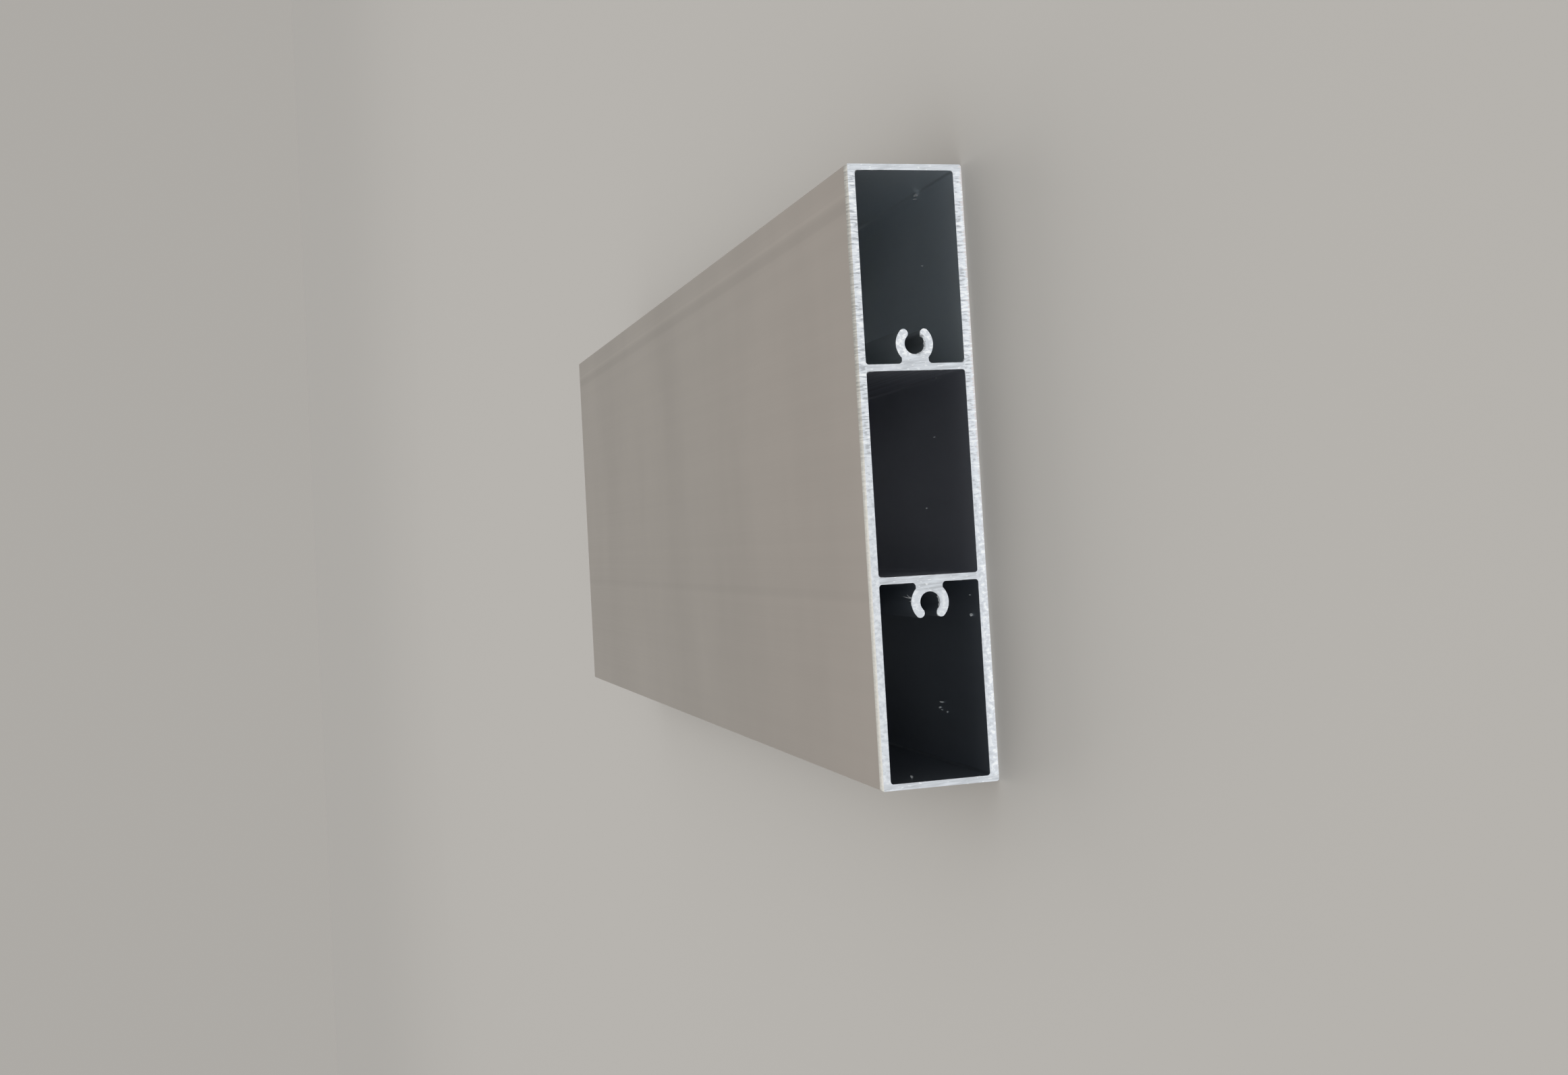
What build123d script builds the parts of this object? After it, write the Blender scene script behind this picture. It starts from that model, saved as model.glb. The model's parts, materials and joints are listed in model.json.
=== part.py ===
# Hollow rectangular aluminium extrusion, cut to a short sample.
# The section has three chambers side by side, two webs between them, and two
# C-shaped screw ports that stand on the webs inside the outer chambers.
# It lies on a broad face: X is the width, Y the length, Z the thickness.

import math
import os

from build123d import *

# Outside of the section and length of the cut sample
WIDTH = 100.0
THICKNESS = 20.0
LENGTH = 250.0

# Walls: the two broad faces, the two narrow edges and the webs between chambers
BROAD_WALL = 1.5
NARROW_WALL = 1.0
WEB_THICKNESS = 1.1

# From the middle of the width to the centre of each web
WEB_FROM_MIDDLE = 17.0

# Rounding of the section's corners, outside and in the chambers
OUTER_CORNER_RADIUS = 0.4
CHAMBER_CORNER_RADIUS = 0.5

# Screw ports: the bore, the wall around it, and the angle from the middle of
# the slot to the centre of each rounded lip
PORT_BORE_RADIUS = 1.7
PORT_WALL = 1.5
PORT_LIP_ANGLE = 47.0

# Neck that joins each port to its web, and the fillets at its foot
NECK_WIDTH = 4.6
NECK_FILLET = 0.6

# A file, held nearly flat, broke the edge where the upper broad face meets each
# sawn end: how far the bevel reaches down the cut and along the face
END_BEVEL_DEPTH = 0.3
END_BEVEL_LENGTH = 0.9

# Chambers, worked out from the walls
CHAMBER_HEIGHT = THICKNESS - 2 * BROAD_WALL
MIDDLE_CHAMBER_WIDTH = 2 * WEB_FROM_MIDDLE - WEB_THICKNESS
WEB_OUTER_FACE = WEB_FROM_MIDDLE + WEB_THICKNESS / 2
OUTER_CHAMBER_WIDTH = WIDTH / 2 - NARROW_WALL - WEB_OUTER_FACE
OUTER_CHAMBER_CENTRE = WEB_OUTER_FACE + OUTER_CHAMBER_WIDTH / 2

# Ports, each touching its web with the outside of its wall
PORT_MIDDLE_RADIUS = PORT_BORE_RADIUS + PORT_WALL / 2
PORT_CENTRE = WEB_OUTER_FACE + PORT_BORE_RADIUS + PORT_WALL
PORT_ARC_ANGLE = 360 - 2 * PORT_LIP_ANGLE

# The neck runs from the middle of the web to the centre of the port, and the
# bore is cut through it afterwards
NECK_LENGTH = PORT_CENTRE - WEB_FROM_MIDDLE
NECK_CENTRE = WEB_FROM_MIDDLE + NECK_LENGTH / 2

# How near a corner lies to a line that it is picked by
PICK_TOLERANCE = 0.01

# The section is drawn at mid-thickness, looking along the length
SECTION_PLANE = Plane(origin=(0, 0, THICKNESS / 2), x_dir=(1, 0, 0), z_dir=(0, -1, 0))


def is_neck_foot(corner):
    """True for a corner where the side of a neck meets the face of its web."""
    on_web_face = abs(abs(corner.X) - WEB_OUTER_FACE) < PICK_TOLERANCE
    on_neck_side = abs(abs(corner.Y) - NECK_WIDTH / 2) < PICK_TOLERANCE
    return on_web_face and on_neck_side


with BuildPart() as profile:
    with BuildSketch(SECTION_PLANE) as section:
        RectangleRounded(WIDTH, THICKNESS, OUTER_CORNER_RADIUS)

        # Three chambers, which leave the walls and the two webs
        RectangleRounded(
            MIDDLE_CHAMBER_WIDTH, CHAMBER_HEIGHT, CHAMBER_CORNER_RADIUS, mode=Mode.SUBTRACT
        )
        with Locations((-OUTER_CHAMBER_CENTRE, 0), (OUTER_CHAMBER_CENTRE, 0)):
            RectangleRounded(
                OUTER_CHAMBER_WIDTH, CHAMBER_HEIGHT, CHAMBER_CORNER_RADIUS, mode=Mode.SUBTRACT
            )

        # Two ports, their slots facing away from the middle
        for side, slot_direction in ((-1, 180), (1, 0)):
            with BuildLine():
                port_arc = CenterArc(
                    (side * PORT_CENTRE, 0),
                    PORT_MIDDLE_RADIUS,
                    slot_direction + PORT_LIP_ANGLE,
                    PORT_ARC_ANGLE,
                )
            SlotArc(port_arc, PORT_WALL)
            with Locations((side * NECK_CENTRE, 0)):
                Rectangle(NECK_LENGTH, NECK_WIDTH)
            with Locations((side * PORT_CENTRE, 0)):
                Circle(PORT_BORE_RADIUS, mode=Mode.SUBTRACT)
        fillet(section.vertices().filter_by(is_neck_foot), NECK_FILLET)

    extrude(amount=LENGTH / 2, both=True)

    # Break the upper edge of both sawn ends, straight across the width
    with BuildSketch(Plane.YZ):
        for end in (-LENGTH / 2, LENGTH / 2):
            inward = -math.copysign(END_BEVEL_LENGTH, end)
            with BuildLine():
                Polyline(
                    (end, THICKNESS - END_BEVEL_DEPTH),
                    (end, THICKNESS),
                    (end + inward, THICKNESS),
                    close=True,
                )
            make_face()
    extrude(amount=WIDTH / 2, both=True, mode=Mode.SUBTRACT)

profile.part.label = "profile"

os.makedirs("parts", exist_ok=True)
export_step(profile.part, "parts/profile.step")
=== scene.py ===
import json
import math
import random
from types import SimpleNamespace

import bmesh
import bpy
from mathutils import Matrix, Vector, noise


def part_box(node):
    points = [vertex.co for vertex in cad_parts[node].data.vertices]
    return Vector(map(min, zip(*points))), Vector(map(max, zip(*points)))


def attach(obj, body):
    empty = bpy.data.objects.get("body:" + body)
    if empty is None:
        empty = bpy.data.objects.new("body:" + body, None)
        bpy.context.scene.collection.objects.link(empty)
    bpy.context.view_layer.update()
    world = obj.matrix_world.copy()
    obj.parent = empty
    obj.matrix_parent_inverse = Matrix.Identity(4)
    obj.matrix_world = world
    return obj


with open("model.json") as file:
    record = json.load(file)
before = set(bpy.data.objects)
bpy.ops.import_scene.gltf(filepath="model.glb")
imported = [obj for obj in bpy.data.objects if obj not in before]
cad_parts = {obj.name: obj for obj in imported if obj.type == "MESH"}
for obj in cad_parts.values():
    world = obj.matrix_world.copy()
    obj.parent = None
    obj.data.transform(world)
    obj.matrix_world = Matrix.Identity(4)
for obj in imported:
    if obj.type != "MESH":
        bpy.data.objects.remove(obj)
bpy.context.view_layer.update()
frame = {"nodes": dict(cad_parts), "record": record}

# Sizes of the extrusion, in metres, read from its CAD node
MM = 0.001
PROFILE_LOW, PROFILE_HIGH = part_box("profile")
WIDTH = PROFILE_HIGH.x - PROFILE_LOW.x
LENGTH = PROFILE_HIGH.y - PROFILE_LOW.y
THICKNESS = PROFILE_HIGH.z - PROFILE_LOW.z

# Walls of the section and the bevel of its ends, as the CAD model has them
BROAD_WALL = 1.5 * MM
NARROW_WALL = 1.0 * MM
WEB_THICKNESS = 1.1 * MM
WEB_MIDDLE = 17.0 * MM
BEVEL_LENGTH = 0.9 * MM

# The screw ports: where they are, their bores, and half the width of a zone around one
PORT_SCREWS = next(mount for mount in frame["record"]["mounts"] if mount["name"] == "port_screws_front")
PORT_FROM_MIDDLE = PORT_SCREWS["dims"]["spacing_x_mm"] / 2 * MM
PORT_BORE_RADIUS = PORT_SCREWS["dims"]["hole_r_mm"] * MM
PORT_REACH = 3.6 * MM

# The camera that took the photograph, found from the edges of the cut end and the
# long edges. It looks down along the length and is turned on its side, so that the
# width of the profile stands upright in the picture. The photograph is cropped, so
# its middle lies a little off the axis of the lens.
CAMERA_POSITION = Vector((-0.00949, -0.35063, 0.10542))
CAMERA_TARGET = Vector((0.00827, 0.03452, 0.01000))
CAMERA_LENS_MM = 34.68
CAMERA_SENSOR_MM = 36.0
CAMERA_LEAN = math.radians(3.17)
CAMERA_SHIFT_X = 0.0645
CAMERA_SHIFT_Y = -0.0387

# Colours, as linear red, green and blue. Chambers, ports and webs are called upper and
# lower as they stand in the photograph, upper towards +X. Top and floor are along Z
FLOOR_COLOUR = (0.37, 0.352, 0.327)
# The outer faces are lighter and warmer near the cut than far off: a painted reflection
MILL_NEAR_COLOUR = (0.68, 0.635, 0.60)
MILL_FAR_COLOUR = (0.63, 0.60, 0.57)
# The middle and lower chambers are darker than the upper one: painted shade
UPPER_CHAMBER_COLOUR = (0.87, 0.94, 1.00)
MIDDLE_CHAMBER_SHADED_COLOUR = (0.57, 0.60, 0.67)
LOWER_CHAMBER_SHADED_COLOUR = (0.41, 0.46, 0.53)
SAWN_COLOUR = (0.855, 0.905, 0.965)
# Painted highlights: the glints of the cut
PAINTED_GLINT_COLOUR = (0.95, 0.98, 1.00)
# Painted shade along the broken outer edge of the wall on the floor
SHADED_STRIP_COLOUR = (0.74, 0.72, 0.73)
BEVEL_COLOUR = (0.90, 0.90, 0.86)
TORN_COLOUR = (0.28, 0.295, 0.31)
CHIP_COLOUR = (0.32, 0.34, 0.35)

# The even light from all round, a soft light above, and a soft fill from far off for
# each sawn end
EVEN_LIGHT = (0.83, 0.842, 0.855)
OVERHEAD_POSITION = Vector((0.0, 0.3, 1.6))
OVERHEAD_SIZE = (2.4, 2.0)
OVERHEAD_POWER = 6.0
FILL_STRENGTH = 1.4
FILL_HEIGHT = math.radians(20)
FILL_ANGLE = math.radians(40)

# Where the world is seen or mirrored it has about the colour of the floor far off, so
# that the horizon hardly shows
FLOOR_REACH = 60.0
FLOOR_ROUGHNESS = 0.8
FLOOR_SPECULAR = 0.2
FILLS_ON_FLOOR = 2 * FILL_STRENGTH * math.sin(FILL_HEIGHT) / math.pi
SURROUND_COLOUR = tuple(paint * (light + FILLS_ON_FLOOR) for paint, light in zip(FLOOR_COLOUR, EVEN_LIGHT))

# How rough each surface is, and how metallic. The inner faces are duller than the outer
# ones, more so deep inside, and the cut is pale and dull
OUTER_ROUGHNESS = (0.31, 0.35)
INNER_ROUGHNESS = 0.40
BEVEL_ROUGHNESS = 0.45
SAWN_ROUGHNESS = 0.50
GLINT_ROUGHNESS = 0.42
TORN_ROUGHNESS = 0.65
INNER_METALLIC_AT_CUT = 0.95
INNER_METALLIC_DEEP = 0.78
INNER_METALLIC_DEPTH = 60.0 * MM
SAWN_METALLIC = 0.1
TORN_METALLIC = 0.5

# Tones set to match the photograph: two inner faces dimmed as painted shade, and the cut,
# which starts from one shade that its marks, painted glints, painted light and painted
# shade make darker or lighter by so much
LOWEST_FACE_PAINTED_SHADE = 0.8
UPPER_PORT_PAINTED_SHADE = 0.6
SAWN_SHADE = 0.85
# Painted shade in the gaps between the tooth marks
GAPS_PAINTED_SHADE = 0.32
SMEARED_DARKER = 0.09
SMEAR_CONTRAST = 0.85
# Painted light on the wall by the floor, against the shade of the floor near the foot
NEAR_FLOOR_PAINTED_LIGHT = 0.08
SOFT_HALF_DARKER = 0.03
# The torn side of the bores: partly the torn metal's tone, partly painted shade
TORN_AND_SHADED_DARKER = 0.52
# Painted shade: the cut darkens away from the floor
PAINTED_SHADE_HIGH_ON_CUT = 0.95

# Where the tooth marks on the cut turn from soft to crisp, across the width, and where
# the arms of the ports begin and end, away from the middle
TOOTH_MARKS_CRISP = (-20.0 * MM, 15.0 * MM)
ARMS_BEGIN = (18.6 * MM, 19.4 * MM)
ARMS_END = (30.0 * MM, 31.0 * MM)

# Soft bands that the die drew along the top face: across and half width, in
# millimetres, and the change of shade
DIE_MARKS = (
    (43.3, 1.6, -0.07),
    (45.2, 0.5, 0.04),
    (-19.5, 1.3, -0.03),
)

# Depth of the bump, and the seeds of the random draws
BUMP_DEPTH = 0.03 * MM
FRONT_BURR_SEED = 11
BACK_BURR_SEED = 23
CHIP_SEED = 5

# Burrs that the saw left on the cuts: a faint fringe in clumps along every opening,
# and more at these places of the front cut: across, up, radius and reach, in millimetres
FRINGE_REACH = 0.04
CLUMPS_PER_MM = 2.1
HEAVY_BURRS = (
    (19.3, 9.2, 0.7, 0.20),
    (20.5, 8.5, 0.7, 0.26),
    (22.1, 8.9, 0.5, 0.12),
    (-20.3, 8.4, 0.7, 0.36),
    (-21.4, 8.5, 0.8, 0.22),
    (-22.9, 8.9, 0.4, 0.14),
    (-20.7, 13.2, 0.8, 0.10),
    (21.0, 13.2, 1.2, 0.09),
    (16.4, 4.6, 2.6, 0.08),
    (16.4, 8.6, 2.4, 0.09),
    (16.3, 18.2, 1.2, 0.18),
    (16.2, 1.8, 0.9, 0.12),
    (17.9, 1.7, 0.6, 0.13),
    (18.1, 18.4, 0.5, 0.20),
    (-16.3, 18.2, 1.0, 0.16),
    (-17.6, 5.2, 1.3, 0.08),
    (-17.6, 15.2, 1.6, 0.08),
    (48.4, 18.4, 1.6, 0.17),
    (48.9, 15.4, 0.9, 0.08),
    (48.6, 1.8, 0.8, 0.12),
    (-49.0, 3.4, 0.5, 0.12),
)

# Whiskers on the port of the lower web: start and stop (across, up), half the width of
# the root and how far the tip leans back, in millimetres
WHISKERS = (
    ((-19.95, 13.05), (-19.62, 14.35), 0.11, 0.50),
    ((-19.85, 13.35), (-19.30, 13.75), 0.06, 0.25),
    ((-20.35, 13.05), (-20.45, 13.50), 0.13, 0.20),
)

# Saw chips that cling inside the chambers near the cut. Each is a curl that stands on an
# inner face: where it stands (across, in from the cut, up), which way it stands out,
# its width and height, all in millimetres, and its turn in degrees
UPWARD = Vector((0.0, 0.0, 1.0))
SIDEWAYS = Vector((1.0, 0.0, 0.0))
CHIPS = (
    ((48.5, 14.8, 1.5), UPWARD, 0.55, 0.62, 25.0),
    ((47.9, 15.3, 1.5), UPWARD, 0.20, 0.60, -10.0),
    ((36.1, 14.4, 1.5), UPWARD, 0.25, 0.25, 30.0),
    ((23.9, 31.5, 1.5), UPWARD, 0.60, 0.85, 5.0),
    ((16.3, 11.2, 1.5), UPWARD, 0.20, 0.30, -20.0),
    ((6.5, 13.6, 1.5), UPWARD, 0.25, 0.30, 40.0),
    ((-5.5, 18.9, 1.5), UPWARD, 0.25, 0.25, -30.0),
    ((-23.4, 2.9, 1.5), UPWARD, 0.55, 0.40, 15.0),
    ((-20.2, 3.3, 1.5), UPWARD, 0.15, 0.20, 0.0),
    ((-38.8, 16.8, 1.5), UPWARD, 0.28, 0.62, -15.0),
    ((-39.8, 18.1, 1.5), UPWARD, 0.36, 0.36, 20.0),
    ((-40.2, 17.4, 1.5), UPWARD, 0.22, 0.28, -40.0),
    ((-40.3, 15.2, 1.5), UPWARD, 0.30, 0.26, 35.0),
    ((-49.0, 4.2, 13.2), SIDEWAYS, 0.50, 0.42, 10.0),
)

# The corners of a square from -1 to 1, in order: of a thin tube's section or of the floor
SQUARE_CORNERS = ((-1, -1), (1, -1), (1, 1), (-1, 1))


def opaque(colour):
    """A colour with full alpha, as a node's socket takes it."""
    return (*colour, 1.0)


class Shader:
    """Short calls that add and link the nodes of one material."""

    def __init__(self, name):
        self.material = bpy.data.materials.new(name)
        self.material.use_nodes = True
        self.tree = self.material.node_tree
        self.surface = self.tree.nodes["Principled BSDF"]

    def give(self, socket, value):
        """Link a socket to another, or set its value."""
        if isinstance(value, bpy.types.NodeSocket):
            self.tree.links.new(value, socket)
        else:
            socket.default_value = value

    def math(self, operation, *values):
        """One operation on numbers."""
        made = self.tree.nodes.new("ShaderNodeMath")
        made.operation = operation
        for socket, value in zip(made.inputs, values):
            self.give(socket, value)
        return made.outputs[0]

    def times(self, *values):
        """The product of two numbers or more."""
        product = values[0]
        for value in values[1:]:
            product = self.math("MULTIPLY", product, value)
        return product

    def total(self, *values):
        """The sum of two numbers or more."""
        added = values[0]
        for value in values[1:]:
            added = self.math("ADD", added, value)
        return added

    def rest_of(self, value):
        """What is left of 1 when a number is taken away."""
        return self.math("SUBTRACT", 1.0, value)

    def ramp(self, value, low, high, to_low=0.0, to_high=1.0):
        """Runs smoothly from to_low to to_high as the value runs from low to high."""
        made = self.tree.nodes.new("ShaderNodeMapRange")
        made.interpolation_type = "SMOOTHSTEP"
        for socket, item in zip(made.inputs, (value, low, high, to_low, to_high)):
            self.give(socket, item)
        return made.outputs[0]

    def band(self, value, middle, half_width):
        """1 near the middle, fading to 0 at half_width on each side."""
        away = self.math("ABSOLUTE", self.math("SUBTRACT", value, middle))
        return self.ramp(away, half_width * 0.3, half_width, 1.0, 0.0)

    def blend(self, factor, first, second):
        """A colour mixed from two, by factor."""
        made = self.tree.nodes.new("ShaderNodeMix")
        made.data_type = "RGBA"
        self.give(made.inputs["Factor"], factor)
        self.give(made.inputs[6], first)
        self.give(made.inputs[7], second)
        return made.outputs[2]

    def pick(self, factor, first, second):
        """A number mixed from two, by factor."""
        made = self.tree.nodes.new("ShaderNodeMix")
        for socket, value in zip((made.inputs[0], made.inputs[2], made.inputs[3]), (factor, first, second)):
            self.give(socket, value)
        return made.outputs[0]

    def dim(self, colour, factor):
        """A colour multiplied by a number."""
        made = self.tree.nodes.new("ShaderNodeVectorMath")
        made.operation = "SCALE"
        self.give(made.inputs[0], colour)
        self.give(made.inputs["Scale"], factor)
        return made.outputs[0]

    def split(self, vector):
        """The X, Y and Z of a vector."""
        made = self.tree.nodes.new("ShaderNodeSeparateXYZ")
        self.give(made.inputs[0], vector)
        return made.outputs

    def noise(self, vector, scales, detail=2.0, roughness=0.5, lean=0.0):
        """Noise with its own number of features per metre along X, Y and Z, leaning by degrees about Y."""
        turned = self.tree.nodes.new("ShaderNodeVectorRotate")
        turned.rotation_type = "Y_AXIS"
        turned.inputs["Angle"].default_value = math.radians(lean)
        self.give(turned.inputs["Vector"], vector)
        stretched = self.tree.nodes.new("ShaderNodeVectorMath")
        stretched.operation = "MULTIPLY"
        self.give(stretched.inputs[0], turned.outputs[0])
        stretched.inputs[1].default_value = scales
        made = self.tree.nodes.new("ShaderNodeTexNoise")
        made.inputs["Scale"].default_value = 1.0
        made.inputs["Detail"].default_value = detail
        made.inputs["Roughness"].default_value = roughness
        self.give(made.inputs["Vector"], stretched.outputs[0])
        return made.outputs["Fac"]

    def bump(self, height, depth):
        """The surface's direction, tilted by bumps; a height of 1 stands out by depth, in metres."""
        made = self.tree.nodes.new("ShaderNodeBump")
        made.inputs["Distance"].default_value = depth
        self.give(made.inputs["Height"], height)
        return made.outputs["Normal"]


def read_places(shader):
    """Where each point of the surface is and which way it faces."""
    at = SimpleNamespace()
    at.place = shader.tree.nodes.new("ShaderNodeTexCoord").outputs["Object"]
    normal = shader.tree.nodes.new("ShaderNodeNewGeometry").outputs["True Normal"]
    at.across, at.along, at.up = shader.split(at.place)
    at.side_facing, at.end_facing, _ = (shader.math("ABSOLUTE", part) for part in shader.split(normal))
    at.from_middle = shader.math("ABSOLUTE", at.across)
    at.from_mid_thickness = shader.math("ABSOLUTE", shader.math("SUBTRACT", at.up, THICKNESS / 2))
    at.from_end = shader.math("SUBTRACT", LENGTH / 2, shader.math("ABSOLUTE", at.along))
    return at


def find_finishes(shader, at):
    """Where each finish is: on the cut, on the cut and its bevel, inside, and on the webs."""
    finish = SimpleNamespace()
    finish.sawn = shader.ramp(at.end_facing, 0.90, 0.97)
    finish.worked = shader.ramp(at.end_facing, 0.10, 0.25)
    in_width = shader.math("LESS_THAN", at.from_middle, WIDTH / 2 - NARROW_WALL / 2)
    in_thickness = shader.math("LESS_THAN", at.from_mid_thickness, THICKNESS / 2 - BROAD_WALL / 2)
    finish.inside = shader.times(in_width, in_thickness)
    finish.on_web = shader.times(
        shader.ramp(at.side_facing, 0.90, 0.97),
        shader.math("LESS_THAN", at.from_middle, WEB_MIDDLE + WEB_THICKNESS),
    )
    return finish


def mill_shade(shader, at):
    """Faint lines that the die drew along the length, and soft bands across it."""
    wide_lines = shader.noise(at.place, (330.0, 0.8, 330.0), detail=3.0)
    cloud = shader.noise(at.place, (10.0, 26.0, 10.0), detail=3.0)
    top_face = shader.math("GREATER_THAN", at.up, THICKNESS - 0.1 * MM)
    bands = [
        shader.times(shader.band(at.across, middle * MM, half_width * MM), change)
        for middle, half_width, change in DIE_MARKS
    ]
    return shader.total(
        shader.ramp(wide_lines, 0.30, 0.70, 0.99, 1.01),
        shader.ramp(cloud, 0.30, 0.70, -0.04, 0.04),
        shader.times(shader.total(*bands), top_face),
    )


def mill_look(shader, at, shade):
    """The colour of the outer faces, a little lighter and warmer towards the front: a painted reflection.
    """
    towards_middle = shader.ramp(at.along, -LENGTH / 2, 0.0)
    colour = shader.blend(towards_middle, opaque(MILL_NEAR_COLOUR), opaque(MILL_FAR_COLOUR))
    return shader.dim(colour, shade)


def chamber_look(shader, at, finish, shade):
    """The colour of the inner faces. The middle and lower chambers are darker, and two inner faces are
    dimmed, as painted shade; the webs are streaked.
    """
    web_lines = shader.noise(at.place, (1.0, 9.0, 1300.0), detail=4.0, roughness=0.6)
    in_upper = shader.math("GREATER_THAN", at.across, WEB_MIDDLE)
    in_lower = shader.math("LESS_THAN", at.across, -WEB_MIDDLE)
    colour = shader.blend(
        in_lower,
        shader.blend(in_upper, opaque(MIDDLE_CHAMBER_SHADED_COLOUR), opaque(UPPER_CHAMBER_COLOUR)),
        opaque(LOWER_CHAMBER_SHADED_COLOUR),
    )
    streaked = shader.pick(finish.on_web, 1.0, shader.ramp(web_lines, 0.35, 0.65, 0.85, 1.20))
    # Painted shade: the lowest inner face and the flank of the upper port are dimmed
    on_lowest_face = shader.math("LESS_THAN", at.across, 1.5 * NARROW_WALL - WIDTH / 2)
    on_upper_port = shader.times(
        in_upper,
        shader.math("LESS_THAN", at.across, PORT_FROM_MIDDLE + PORT_REACH),
        shader.math("LESS_THAN", at.from_mid_thickness, PORT_REACH),
        shader.rest_of(finish.on_web),
    )
    return shader.dim(colour, shader.times(
        shade,
        streaked,
        shader.pick(on_lowest_face, 1.0, LOWEST_FACE_PAINTED_SHADE),
        shader.pick(on_upper_port, 1.0, UPPER_PORT_PAINTED_SHADE),
    ))


def tooth_marks(shader, at):
    """Crisp dashes of the saw teeth towards +X and soft blotches towards -X, and how crisp."""
    dashes = shader.noise(at.place, (2800.0, 1.0, 600.0), detail=3.0, roughness=0.6)
    blotches = shader.noise(at.place, (1700.0, 1.0, 1350.0), detail=3.0)
    crisp = shader.ramp(at.across, *TOOTH_MARKS_CRISP)
    return shader.pick(crisp, blotches, dashes), crisp


def cut_zones(shader, at, teeth, crisp):
    """The teeth marked the broad walls and the arms of the ports, and smeared the rest."""
    cut = SimpleNamespace(teeth=teeth, crisp=crisp)
    cells = shader.noise(at.place, (2300.0, 1.0, 1500.0), detail=3.0)
    cut.ragged = shader.times(shader.math("SUBTRACT", cells, 0.5), 1.6 * MM)
    inner_face = THICKNESS / 2 - BROAD_WALL
    ragged_height = shader.math("ADD", at.from_mid_thickness, cut.ragged)
    between_walls = shader.ramp(ragged_height, inner_face - 0.3 * MM, inner_face, 1.0, 0.0)
    cut.on_arms = shader.times(
        shader.ramp(shader.math("ADD", at.from_middle, cut.ragged), *ARMS_BEGIN),
        shader.ramp(at.from_middle, *ARMS_END, 1.0, 0.0),
        between_walls,
    )
    side_face = WIDTH / 2 - NARROW_WALL
    on_narrow_wall = shader.ramp(at.from_middle, side_face - 0.2 * MM, side_face)
    beside_arms = shader.math("SUBTRACT", between_walls, cut.on_arms)
    cut.smeared = shader.math("MAXIMUM", beside_arms, on_narrow_wall)
    cut.toothed = shader.rest_of(cut.smeared)
    cut.marks = shader.pick(cut.on_arms, teeth, cells)
    return cut


def outer_strip(shader, at, cut):
    """The greyer strip along the outer edge of the wall on the floor: painted shade of the broken edge."""
    stepped = shader.times(shader.math("SUBTRACT", cut.teeth, 0.5), 2.2 * MM)
    return shader.times(
        shader.ramp(shader.math("ADD", at.up, stepped), 0.16 * MM, 0.30 * MM, 1.0, 0.0),
        shader.ramp(cut.crisp, 0.0, 1.0, 0.2, 1.0),
    )


def torn_and_shaded_bores(shader, at, cut):
    """The bores of the ports are torn on the side towards the floor. Darker there: partly the torn metal's
    own tone, partly painted shade of burrs bent into the bore.
    """
    from_port_across = shader.math("SUBTRACT", at.from_middle, PORT_FROM_MIDDLE)
    from_port_up = shader.math("SUBTRACT", at.up, THICKNESS / 2)
    from_bore = shader.math("SQRT", shader.total(
        shader.times(from_port_across, from_port_across),
        shader.times(from_port_up, from_port_up),
    ))
    ragged_bore = shader.math("SUBTRACT", from_bore, cut.ragged)
    notches = shader.noise(at.place, (4200.0, 1.0, 2600.0), detail=2.0)
    return shader.times(
        shader.ramp(ragged_bore, PORT_BORE_RADIUS, PORT_BORE_RADIUS + 0.5 * MM, 1.0, 0.0),
        shader.ramp(from_port_up, -0.9 * MM, 0.2 * MM, 1.0, 0.0),
        shader.ramp(notches, 0.35, 0.60, 0.35, 1.0),
        shader.ramp(cut.crisp, 0.0, 1.0, 0.5, 1.0),
    )


def find_painted_glints(shader, at, cut, strip, torn_and_shaded):
    """Painted glints: bright thin bars in clumps towards +X, and fewer towards -X but for the outer edge.
    """
    clumps = shader.noise(at.place, (450.0, 1.0, 330.0), detail=1.0)
    clumped = shader.ramp(clumps, 0.40, 0.54, 0.45, 1.0)
    soft_half = shader.ramp(at.up, 0.6 * MM, 1.3 * MM, 1.0, 0.35)
    wanted = shader.pick(cut.crisp, soft_half, clumped)
    return shader.times(
        shader.ramp(cut.marks, 0.52, 0.585),
        cut.toothed,
        shader.pick(cut.on_arms, wanted, shader.ramp(cut.crisp, 0.0, 1.0, 0.5, 0.9)),
        shader.rest_of(shader.times(strip, 0.6)),
        shader.rest_of(torn_and_shaded),
    )


def find_shaded_gaps(shader, cut):
    """The darker gaps between the marks of the teeth: painted shade."""
    return shader.times(
        shader.ramp(cut.marks, 0.38, 0.47, 1.0, 0.0),
        cut.toothed,
        shader.ramp(cut.crisp, 0.0, 1.0, 0.35, 1.0),
        shader.pick(cut.on_arms, 1.0, 0.25),
    )


def sawn_shade(shader, at, cut, smears, torn_and_shaded):
    """How light the cut is from point to point, without its painted glints: with painted shade in the gaps,
    and painted light near the floor.
    """
    # Painted light: the wall by the floor is lighter, against the shade of the floor near the foot
    low_down = shader.ramp(at.up, BROAD_WALL, BROAD_WALL + 0.3 * MM, 1.0, 0.0)
    painted_light_near_floor = shader.times(low_down, cut.toothed)
    return shader.total(
        SAWN_SHADE,
        shader.times(find_shaded_gaps(shader, cut), -GAPS_PAINTED_SHADE),
        shader.times(cut.smeared, -SMEARED_DARKER),
        shader.times(shader.math("SUBTRACT", smears, 0.5), cut.smeared, SMEAR_CONTRAST),
        shader.times(painted_light_near_floor, shader.ramp(at.up, 0.4 * MM, 1.4 * MM, NEAR_FLOOR_PAINTED_LIGHT, 0.0)),
        shader.ramp(cut.crisp, 0.0, 1.0, -SOFT_HALF_DARKER, 0.0),
        shader.times(torn_and_shaded, -TORN_AND_SHADED_DARKER),
    )


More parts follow.
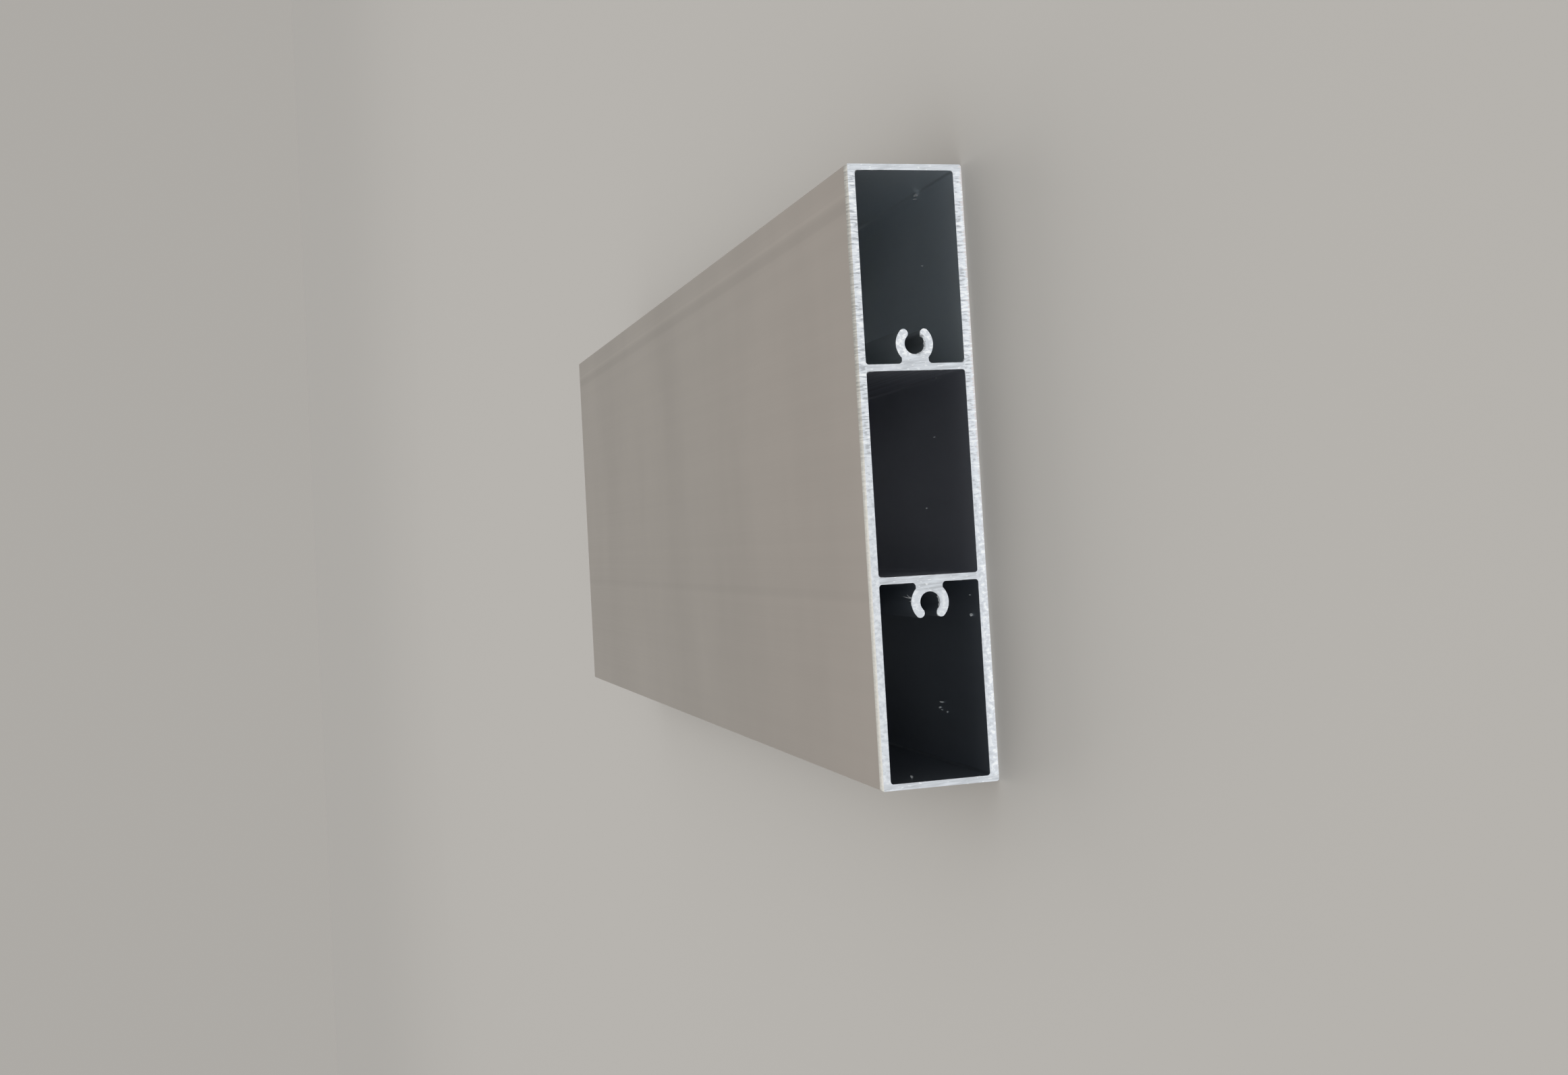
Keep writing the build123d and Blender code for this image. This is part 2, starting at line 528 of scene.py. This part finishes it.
def sawn_look(shader, at, teeth, crisp):
    """Colour, roughness and height of the sawn face."""
    cut = cut_zones(shader, at, teeth, crisp)
    smears = shader.noise(at.place, (2600.0, 1.0, 260.0), detail=4.0, roughness=0.6, lean=4.0)
    flecks = shader.noise(at.place, (3000.0, 1.0, 1000.0), detail=1.0)
    strip = outer_strip(shader, at, cut)
    torn_and_shaded = torn_and_shaded_bores(shader, at, cut)
    painted_glints = find_painted_glints(shader, at, cut, strip, torn_and_shaded)
    shade = sawn_shade(shader, at, cut, smears, torn_and_shaded)
    # Painted glints: bright flecks on the smeared zones, and the bright bars of the teeth
    painted_glint_flecks = shader.times(shader.ramp(flecks, 0.64, 0.70), cut.smeared, 0.6)
    painted_highlights = shader.math("MAXIMUM", painted_glints, painted_glint_flecks)
    body = shader.blend(strip, shader.dim(SAWN_COLOUR, shade), opaque(SHADED_STRIP_COLOUR))
    # Painted shade: the cut darkens away from the floor, against the lighter part by the floor
    painted_shade_above_floor = shader.ramp(at.up, 1.0 * MM, 9.0 * MM, 1.0, PAINTED_SHADE_HIGH_ON_CUT)
    colour = shader.dim(shader.blend(painted_highlights, body, opaque(PAINTED_GLINT_COLOUR)), painted_shade_above_floor)
    roughness = shader.pick(painted_glints, SAWN_ROUGHNESS, GLINT_ROUGHNESS)
    height = shader.pick(cut.smeared, cut.marks, shader.times(smears, 0.6))
    return colour, roughness, height


def bevel_look(shader, at, teeth, crisp):
    """Colour and height of the bevel on the top edge of the sawn ends, with painted light and shade."""
    file_marks = shader.noise(at.place, (2600.0, 900.0, 2600.0), detail=3.0)
    # Painted light and shade: the bevel is darker towards +X and lighter towards the cut, as a rounded edge
    # would be lit
    shade = shader.times(
        shader.ramp(file_marks, 0.30, 0.70, 0.94, 1.06),
        shader.ramp(at.across, -14.0 * MM, 24.0 * MM, 0.95, 0.66),
        shader.pick(crisp, 1.0, shader.ramp(teeth, 0.38, 0.62, 0.84, 1.22)),
        shader.ramp(at.from_end, 0.0, BEVEL_LENGTH, 1.18, 0.80),
    )
    height = shader.times(shader.pick(crisp, file_marks, teeth), 0.6)
    return shader.dim(BEVEL_COLOUR, shade), height


def drawn_metallic(shader, at, finish):
    """The outer faces are all metal, the inner ones less so the deeper they are."""
    inner = shader.ramp(at.from_end, 0.0, INNER_METALLIC_DEPTH, INNER_METALLIC_AT_CUT, INNER_METALLIC_DEEP)
    on_inner_faces = shader.times(finish.inside, shader.rest_of(finish.worked))
    return shader.pick(on_inner_faces, 1.0, inner)


def profile_material():
    """Mill-finish aluminium outside, duller in the chambers, pale where it was sawn."""
    shader = Shader("mill_and_sawn_aluminium")
    at = read_places(shader)
    finish = find_finishes(shader, at)
    teeth, crisp = tooth_marks(shader, at)
    fine_lines = shader.noise(at.place, (5500.0, 4.0, 5500.0), detail=3.0)
    shade = mill_shade(shader, at)
    mill = mill_look(shader, at, shade)
    drawn = shader.blend(finish.inside, mill, chamber_look(shader, at, finish, shade))
    sawn_colour, sawn_roughness, sawn_height = sawn_look(shader, at, teeth, crisp)
    bevel_colour, bevel_height = bevel_look(shader, at, teeth, crisp)
    worked_colour = shader.blend(finish.sawn, bevel_colour, sawn_colour)
    outer_roughness = shader.ramp(fine_lines, 0.25, 0.75, *OUTER_ROUGHNESS)
    drawn_roughness = shader.pick(finish.inside, outer_roughness, INNER_ROUGHNESS)
    worked_roughness = shader.pick(finish.sawn, BEVEL_ROUGHNESS, sawn_roughness)
    metallic = shader.pick(finish.sawn, drawn_metallic(shader, at, finish), SAWN_METALLIC)
    worked_height = shader.pick(finish.sawn, bevel_height, sawn_height)
    height = shader.pick(finish.worked, shader.times(fine_lines, 0.03), worked_height)

    surface = shader.surface.inputs
    shader.give(surface["Base Color"], shader.blend(finish.worked, drawn, worked_colour))
    shader.give(surface["Roughness"], shader.pick(finish.worked, drawn_roughness, worked_roughness))
    shader.give(surface["Metallic"], metallic)
    shader.give(surface["Normal"], shader.bump(height, BUMP_DEPTH))
    return shader.material


def torn_material(name, colour):
    """Torn metal of burrs or chips."""
    shader = Shader(name)
    place = shader.tree.nodes.new("ShaderNodeTexCoord").outputs["Object"]
    mottle = shader.noise(place, (3500.0, 3500.0, 3500.0), detail=2.0)
    shade = shader.ramp(mottle, 0.35, 0.65, 0.70, 1.25)
    shader.give(shader.surface.inputs["Base Color"], shader.dim(colour, shade))
    shader.surface.inputs["Roughness"].default_value = TORN_ROUGHNESS
    shader.surface.inputs["Metallic"].default_value = TORN_METALLIC
    return shader.material


def floor_material():
    """The even paint of the floor."""
    shader = Shader("floor_paint")
    shader.surface.inputs["Base Color"].default_value = opaque(FLOOR_COLOUR)
    shader.surface.inputs["Roughness"].default_value = FLOOR_ROUGHNESS
    shader.surface.inputs["Specular IOR Level"].default_value = FLOOR_SPECULAR
    return shader.material


def dress_profile():
    """Give the CAD node its finish."""
    node = frame["nodes"]["profile"]
    node.data.materials.clear()
    node.data.materials.append(profile_material())


def cut_outlines(end):
    """The outlines of one sawn end, as closed loops of (across, up); end is -1 or 1."""
    shape = bmesh.new()
    shape.from_mesh(frame["nodes"]["profile"].data)
    bmesh.ops.remove_doubles(shape, verts=shape.verts, dist=0.001 * MM)
    shape.normal_update()
    shape.verts.index_update()
    cut = {face for face in shape.faces if face.normal.y * end > 0.99}
    follow = {}
    for edge in shape.edges:
        if sum(face in cut for face in edge.link_faces) == 1:
            for vertex in edge.verts:
                follow.setdefault(vertex, []).append(edge.other_vert(vertex))
    loops = []
    unused = set(follow)
    while unused:
        first = min(unused, key=lambda vertex: vertex.index)
        loop = []
        previous, current = None, first
        while not loop or current is not first:
            loop.append(Vector((current.co.x, current.co.z)))
            unused.discard(current)
            following = next(other for other in follow[current] if other is not previous)
            previous, current = current, following
        loops.append(loop)
    shape.free()
    return loops


def signed_area(loop):
    """The area in a closed loop, above zero where it runs counter-clockwise."""
    return sum(a.x * b.y - b.x * a.y for a, b in zip(loop, loop[1:] + loop[:1])) / 2


def evenly_spaced(loop, step):
    """Points along a closed loop at even steps, each with the loop's direction there."""
    spaced = []
    carried = 0.0
    for start, stop in zip(loop, loop[1:] + loop[:1]):
        along = stop - start
        direction = along.normalized()
        while carried < along.length:
            spaced.append((start + direction * carried, direction))
            carried += step
        carried -= along.length
    return spaced


def burr_reach(point, heavy, draw):
    """How far the burr stands out at a point of the cut's outline, in metres."""
    clump = noise.noise(Vector((point.x, point.y, 0.0)) * CLUMPS_PER_MM / MM)
    reach = FRINGE_REACH * (0.3 + 1.3 * clump) * draw.uniform(0.6, 1.1)
    for across, up, radius, most in heavy:
        away = math.hypot(point.x / MM - across, point.y / MM - up) / radius
        if away < 1.0:
            reach = max(reach, most * (1.0 - away**3) * (0.62 + 0.9 * clump) * draw.uniform(0.7, 1.1))
    return reach * MM


def burr_runs(loop, heavy, draw):
    """Stretches of burr along one opening: lists of (point, way into the opening, reach)."""
    spacing = 0.10 * MM
    least = 0.012 * MM
    side = 1.0 if signed_area(loop) > 0 else -1.0
    runs = []
    run = []
    for point, direction in evenly_spaced(loop, spacing):
        reach = burr_reach(point, heavy, draw)
        if reach > least:
            run.append((point, Vector((-direction.y, direction.x)) * side, reach))
        else:
            runs.append(run)
            run = []
    runs.append(run)
    return [run for run in runs if len(run) > 1]


def add_tube(shape, rings):
    """Join rings of corners into one closed tube."""
    for one, two in zip(rings, rings[1:]):
        for corner, _ in enumerate(one):
            following = (corner + 1) % len(one)
            shape.faces.new((one[corner], two[corner], two[following], one[following]))
    shape.faces.new(rings[0])
    shape.faces.new(list(reversed(rings[-1])))


def add_burr_run(shape, run, end):
    """One thin ragged flange, rooted in the metal and bent back into the opening."""
    root = 0.06 * MM
    thick = 0.09 * MM
    skin = 0.004 * MM
    tip_thick = 0.016 * MM
    bend = 0.8
    plane = end * (LENGTH / 2 - skin)
    rings = []
    for point, out, reach in run:
        inner = point - out * root
        tip = point + out * reach
        set_back = end * reach * bend
        corners = (
            (inner.x, plane, inner.y),
            (tip.x, plane - set_back, tip.y),
            (tip.x, plane - set_back - end * tip_thick, tip.y),
            (inner.x, plane - end * thick, inner.y),
        )
        rings.append([shape.verts.new(corner) for corner in corners])
    add_tube(shape, rings)


def add_piece(name, shape, material):
    """Make an object of a mesh, on the part's one body."""
    bmesh.ops.recalc_face_normals(shape, faces=shape.faces)
    mesh = bpy.data.meshes.new(name)
    shape.to_mesh(mesh)
    shape.free()
    mesh.materials.append(material)
    piece = bpy.data.objects.new(name, mesh)
    bpy.context.scene.collection.objects.link(piece)
    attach(piece, "root")


def add_burrs(name, end, heavy, seed, material):
    """The ragged fringe of metal that the saw left around the openings of one cut."""
    draw = random.Random(seed)
    shape = bmesh.new()
    loops = cut_outlines(end)
    loops.remove(max(loops, key=lambda loop: abs(signed_area(loop))))
    for loop in loops:
        for run in burr_runs(loop, heavy, draw):
            add_burr_run(shape, run, end)
    add_piece(name, shape, material)


def add_whisker(shape, start, stop, root_half_width, lean_back):
    """One hair-like whisker of torn metal in the cut, which leans back; in millimetres."""
    half_depth = 0.015
    tip_half_width = 0.012
    bow = 0.08
    sunk = 0.05
    steps = 8
    along_whisker = Vector(stop) - Vector(start)
    sideways = Vector((-along_whisker.y, along_whisker.x)).normalized()
    rings = []
    for step in range(steps + 1):
        along = step / steps
        middle = Vector(start) + along_whisker * along + sideways * bow * math.sin(along * math.pi)
        half_width = root_half_width * (1.0 - along) ** 1.4 + tip_half_width
        depth = sunk + lean_back * along - LENGTH / 2 / MM
        ring = []
        for i, j in SQUARE_CORNERS:
            edge = middle + sideways * i * half_width
            ring.append(shape.verts.new(Vector((edge.x, depth + j * half_depth, edge.y)) * MM))
        rings.append(ring)
    add_tube(shape, rings)


def add_whiskers(name, material):
    """The torn whiskers that hang off the outside of the port on the lower web."""
    shape = bmesh.new()
    for start, stop, root_half_width, lean_back in WHISKERS:
        add_whisker(shape, start, stop, root_half_width, lean_back)
    add_piece(name, shape, material)


def add_chip(shape, foot, outward, width, height, turn, draw):
    """One saw chip that stands on an inner face and curls away from the cut."""
    steps = 8
    half_thick = 0.015
    curl = math.radians(70)
    sunk = 0.02
    deeper = Matrix.Rotation(math.radians(turn), 3, outward) @ Vector((0.0, 1.0, 0.0))
    sideways = outward.cross(deeper)
    radius = height / math.sin(curl)
    rings = []
    for step in range(steps + 1):
        along = step / steps
        angle = curl * along
        roundness = math.sqrt(max(0.0, 1.0 - (2.0 * along - 1.0) ** 2))
        half_width = width / 2 * (0.2 + 0.8 * roundness) * draw.uniform(0.8, 1.1)
        risen = outward * (radius * math.sin(angle) - sunk)
        centre = foot + risen + deeper * radius * (1.0 - math.cos(angle))
        facing = outward * math.sin(angle) - deeper * math.cos(angle)
        ring = []
        for i, j in SQUARE_CORNERS:
            corner = centre + sideways * i * half_width + facing * j * half_thick
            ring.append(shape.verts.new(corner * MM))
        rings.append(ring)
    add_tube(shape, rings)


def add_chips(name, seed, material):
    """The few saw chips that cling in the chambers near the cut."""
    draw = random.Random(seed)
    shape = bmesh.new()
    for (across, inward, up), outward, width, height, turn in CHIPS:
        foot = Vector((across, inward - LENGTH / 2 / MM, up))
        add_chip(shape, foot, outward, width, height, turn, draw)
    add_piece(name, shape, material)


def add_floor():
    """A plain floor, far wider than the part."""
    mesh = bpy.data.meshes.new("floor")
    corners = [(i * FLOOR_REACH, j * FLOOR_REACH, 0.0) for i, j in SQUARE_CORNERS]
    mesh.from_pydata(corners, [], [(0, 1, 2, 3)])
    floor = bpy.data.objects.new("floor", mesh)
    bpy.context.scene.collection.objects.link(floor)
    mesh.materials.append(floor_material())


def add_overhead_light():
    """A large soft light above, which gives the part its shadow."""
    data = bpy.data.lights.new("overhead", "AREA")
    data.shape = "RECTANGLE"
    data.size, data.size_y = OVERHEAD_SIZE
    data.energy = OVERHEAD_POWER
    light = bpy.data.objects.new("overhead", data)
    light.location = OVERHEAD_POSITION
    light.rotation_euler = (-light.location).to_track_quat("-Z", "Y").to_euler()
    bpy.context.scene.collection.objects.link(light)


def add_fill(name, end):
    """Soft light from far off on one sawn end, which shows in no reflection; end is -1 or 1."""
    data = bpy.data.lights.new(name, "SUN")
    data.energy = FILL_STRENGTH
    data.angle = FILL_ANGLE
    light = bpy.data.objects.new(name, data)
    light.visible_glossy = False
    towards_part = Vector((0.0, -end * math.cos(FILL_HEIGHT), -math.sin(FILL_HEIGHT)))
    light.rotation_euler = towards_part.to_track_quat("-Z", "Y").to_euler()
    bpy.context.scene.collection.objects.link(light)


def add_world():
    """Even light from all round. Where it is seen or mirrored, it has about the floor's colour."""
    world = bpy.data.worlds.new("studio")
    world.use_nodes = True
    tree = world.node_tree
    even_light = tree.nodes["Background"]
    even_light.inputs["Color"].default_value = opaque(EVEN_LIGHT)
    even_light.inputs["Strength"].default_value = 1.0
    seen = tree.nodes.new("ShaderNodeBackground")
    seen.inputs["Color"].default_value = opaque(SURROUND_COLOUR)
    path = tree.nodes.new("ShaderNodeLightPath")
    mixed = tree.nodes.new("ShaderNodeMixShader")
    either = path.outputs["Is Camera Ray"]
    for kind in ("Is Glossy Ray", "Is Transmission Ray"):
        larger = tree.nodes.new("ShaderNodeMath")
        larger.operation = "MAXIMUM"
        tree.links.new(either, larger.inputs[0])
        tree.links.new(path.outputs[kind], larger.inputs[1])
        either = larger.outputs[0]
    tree.links.new(either, mixed.inputs["Fac"])
    tree.links.new(even_light.outputs[0], mixed.inputs[1])
    tree.links.new(seen.outputs[0], mixed.inputs[2])
    tree.links.new(mixed.outputs[0], tree.nodes["World Output"].inputs["Surface"])
    bpy.context.scene.world = world


def add_camera():
    """The photograph's viewpoint and picture angle."""
    back = (CAMERA_POSITION - CAMERA_TARGET).normalized()
    upright = Vector((math.cos(CAMERA_LEAN), 0.0, -math.sin(CAMERA_LEAN)))
    right = upright.cross(back).normalized()
    up = back.cross(right)
    data = bpy.data.cameras.new("photo_camera")
    data.lens = CAMERA_LENS_MM
    data.sensor_width = CAMERA_SENSOR_MM
    data.shift_x = CAMERA_SHIFT_X
    data.shift_y = CAMERA_SHIFT_Y
    data.clip_start = 0.01
    camera = bpy.data.objects.new("photo_camera", data)
    turned = Matrix((right, up, back)).transposed().to_4x4()
    camera.matrix_world = Matrix.Translation(CAMERA_POSITION) @ turned
    bpy.context.scene.collection.objects.link(camera)
    bpy.context.scene.camera = camera


bpy.context.scene.view_settings.view_transform = "Standard"
dress_profile()
torn_metal = torn_material("torn_aluminium", TORN_COLOUR)
add_burrs("burrs_front", -1, HEAVY_BURRS, FRONT_BURR_SEED, torn_metal)
add_burrs("burrs_back", 1, (), BACK_BURR_SEED, torn_metal)
add_whiskers("whiskers_on_port", torn_metal)
add_chips("saw_chips", CHIP_SEED, torn_material("chip_aluminium", CHIP_COLOUR))
add_floor()
add_overhead_light()
add_fill("front_fill", -1)
add_fill("rear_fill", 1)
add_world()
add_camera()
